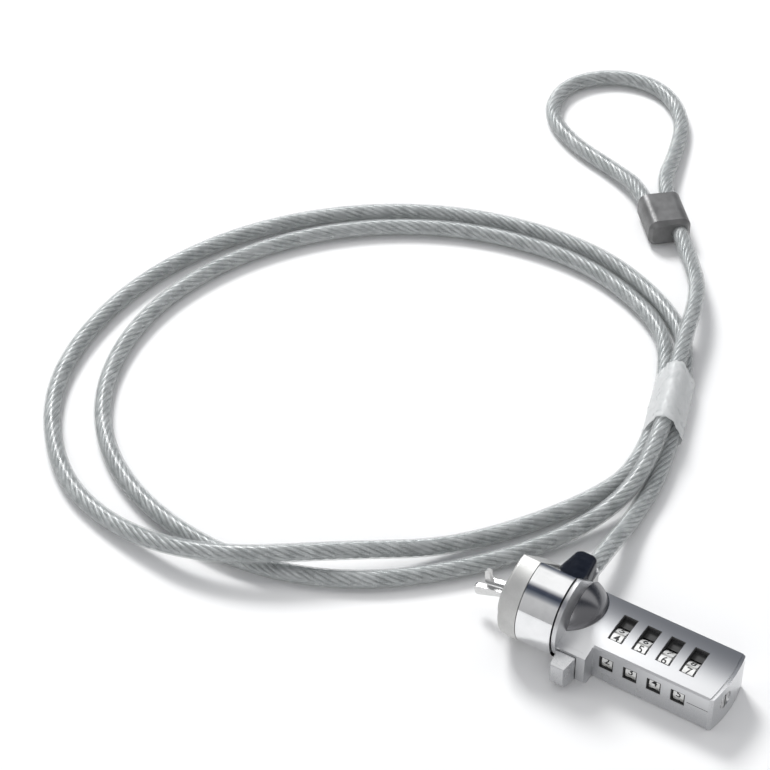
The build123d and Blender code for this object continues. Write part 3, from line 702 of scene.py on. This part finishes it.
def window_linings():
    """Black linings of the eight windows, and the black mask under the roof between the dials:
    black sheets of painted shade inside the body.
    """
    work = bmesh.new()
    boxes = [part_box(f"dial_{index}") for index in range(1, 5)]
    centres = [(low.x + high.x) / 2 for low, high in boxes]
    half = (boxes[-1][1].x - boxes[-1][0].x) / 2 + LINING / 4
    for x in centres:
        top = (x, TOP_WINDOW_Y, BODY_TOP - LINING_SET_IN)
        lining(work, top, TOP_WINDOW, 2, -LINING_DEPTH, -TOP_END_DEPTH)
        side = (x, NEAR_FACE_Y + LINING_SET_IN, SIDE_WINDOW_Z)
        lining(work, side, SIDE_WINDOW, 1, LINING_DEPTH, SIDE_END_DEPTH)
        block(work, (x - half, MASK_DIAL_Y, MASK_Z[0]), (x + half, MASK_FAR_Y, MASK_Z[1]))
    edges = [centres[0] - half - MASK_MARGIN]
    for x in centres:
        edges += [x - half, x + half]
    edges.append(centres[-1] + half + MASK_MARGIN)
    for left, right in zip(edges[::2], edges[1::2]):
        block(work, (left, MASK_NEAR_Y, MASK_Z[0]), (right, MASK_FAR_Y, MASK_Z[1]))
    return mesh_from(work, "window_linings", smooth=False)


# The linings and the mask are black sheets that paint the shade inside the windows and under the
# roof.
piece("window_linings", window_linings(), SKINS["inner_black"], "lock")

SEAM_PROUD = 0.015 * MM
SEAM_HALF = 0.07 * MM
SEAM_Z = 6.0 * MM
SEAM_START = 0.8 * MM
SEAM_STOP = 0.9 * MM


def shell_seam():
    """The dark line where the two shells meet, on the near side from the last window to the end."""
    work = bmesh.new()
    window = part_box("dial_4")[1].x + SEAM_START
    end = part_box("upper_shell")[1].x - SEAM_STOP
    block(
        work,
        (window, NEAR_FACE_Y - SEAM_PROUD, SEAM_Z - SEAM_HALF),
        (end, NEAR_FACE_Y + SEAM_HALF, SEAM_Z + SEAM_HALF),
    )
    return mesh_from(work, "shell_seam", smooth=False)


piece("shell_seam", shell_seam(), SKINS["inner_black"], "lock")

# ---------------------------------------------------------------- return spring

coil = piece(
    "return_coil", NODES["return_spring"].data.copy(), SKINS["steel"], "lock"
)
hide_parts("return_spring")
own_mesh(coil)

# ---------------------------------------------------------------- studio


def light_card(name, place, target, size, power):
    """A soft square light that faces a point."""
    data = bpy.data.lights.new(name, "AREA")
    data.shape = "RECTANGLE"
    data.size, data.size_y = size
    data.energy = power
    lamp = bpy.data.objects.new(name, data)
    bpy.context.scene.collection.objects.link(lamp)
    lamp.location = place
    lamp.rotation_euler = (Vector(target) - Vector(place)).to_track_quat("-Z", "Y").to_euler()
    return lamp


FLOOR_SIZE = 3.0
FLOOR_Z = -0.0001


def floor():
    """A plain white table."""
    work = bmesh.new()
    bmesh.ops.create_grid(work, x_segments=2, y_segments=2, size=FLOOR_SIZE)
    mesh = mesh_from(work, "floor", smooth=False)
    table = bpy.data.objects.new("floor", mesh)
    bpy.context.scene.collection.objects.link(table)
    table.location.z = FLOOR_Z
    paint = Paint("floor_white", (0.93, 0.93, 0.93), 0.0, 0.9)
    table.data.materials.append(paint.material)


# Round the room from the near horizon over the zenith to the far one: share of the way, colour.
ROOM = [
    (0.00, (0.62, 0.62, 0.63)),
    (0.30, (0.78, 0.78, 0.79)),
    (0.35, (0.30, 0.32, 0.36)),
    (0.40, (0.06, 0.075, 0.11)),
    (0.44, (0.10, 0.11, 0.15)),
    (0.50, (1.45, 1.45, 1.45)),
    (0.67, (1.45, 1.45, 1.45)),
    (0.72, (0.10, 0.12, 0.17)),
    (0.80, (0.05, 0.06, 0.09)),
    (0.87, (0.22, 0.24, 0.28)),
    (1.00, (0.55, 0.56, 0.58)),
]


ROOM_STRENGTH = 0.74


def room():
    """A studio as reflections see it: grey walls, dark gaps and a wide soft light overhead."""
    world = bpy.data.worlds.new("studio")
    bpy.context.scene.world = world
    world.use_nodes = True
    tree = world.node_tree
    place = tree.nodes.new("ShaderNodeTexCoord")
    turn = tree.nodes.new("ShaderNodeMapping")
    turn.inputs["Rotation"].default_value = (0, 0, -CAMERA_AZIMUTH)
    split = tree.nodes.new("ShaderNodeSeparateXYZ")
    angle = tree.nodes.new("ShaderNodeMath")
    angle.operation = "ARCTAN2"
    flip = tree.nodes.new("ShaderNodeMath")
    flip.operation = "MULTIPLY"
    flip.inputs[1].default_value = -1
    share = tree.nodes.new("ShaderNodeMath")
    share.operation = "DIVIDE"
    share.inputs[1].default_value = math.pi
    ramp = tree.nodes.new("ShaderNodeValToRGB")
    stops = ramp.color_ramp.elements
    while len(stops) < len(ROOM):
        stops.new(0.5)
    for stop, (position, color) in zip(stops, ROOM):
        stop.position = position
        stop.color = (*color, 1)
    tree.links.new(place.outputs["Generated"], turn.inputs["Vector"])
    tree.links.new(turn.outputs["Vector"], split.inputs["Vector"])
    tree.links.new(split.outputs["Y"], flip.inputs[0])
    tree.links.new(split.outputs["Z"], angle.inputs[0])
    tree.links.new(flip.outputs[0], angle.inputs[1])
    tree.links.new(angle.outputs[0], share.inputs[0])
    tree.links.new(share.outputs[0], ramp.inputs["Fac"])
    background = tree.nodes["Background"]
    background.inputs["Strength"].default_value = ROOM_STRENGTH
    tree.links.new(ramp.outputs["Color"], background.inputs["Color"])


def studio():
    """Room, lights and camera."""
    room()
    middle = CAMERA_TARGET
    light_card("key", middle + Vector((-0.75, 0.55, 1.0)), middle, (0.42, 0.42), 15)
    light_card("front", middle + Vector((0.35, -1.1, 0.7)), middle, (0.8, 0.5), 2)

    back = Vector(
        (
            math.sin(CAMERA_AZIMUTH) * math.cos(CAMERA_ELEVATION),
            -math.cos(CAMERA_AZIMUTH) * math.cos(CAMERA_ELEVATION),
            math.sin(CAMERA_ELEVATION),
        )
    )
    data = bpy.data.cameras.new("camera")
    data.lens = CAMERA_LENS
    data.sensor_width = 36
    camera = bpy.data.objects.new("camera", data)
    bpy.context.scene.collection.objects.link(camera)
    camera.location = CAMERA_TARGET + back * CAMERA_DISTANCE
    camera.rotation_euler = Euler((math.pi / 2 - CAMERA_ELEVATION, 0, CAMERA_AZIMUTH))
    bpy.context.scene.camera = camera
    bpy.context.scene.view_settings.view_transform = "Standard"


floor()
studio()
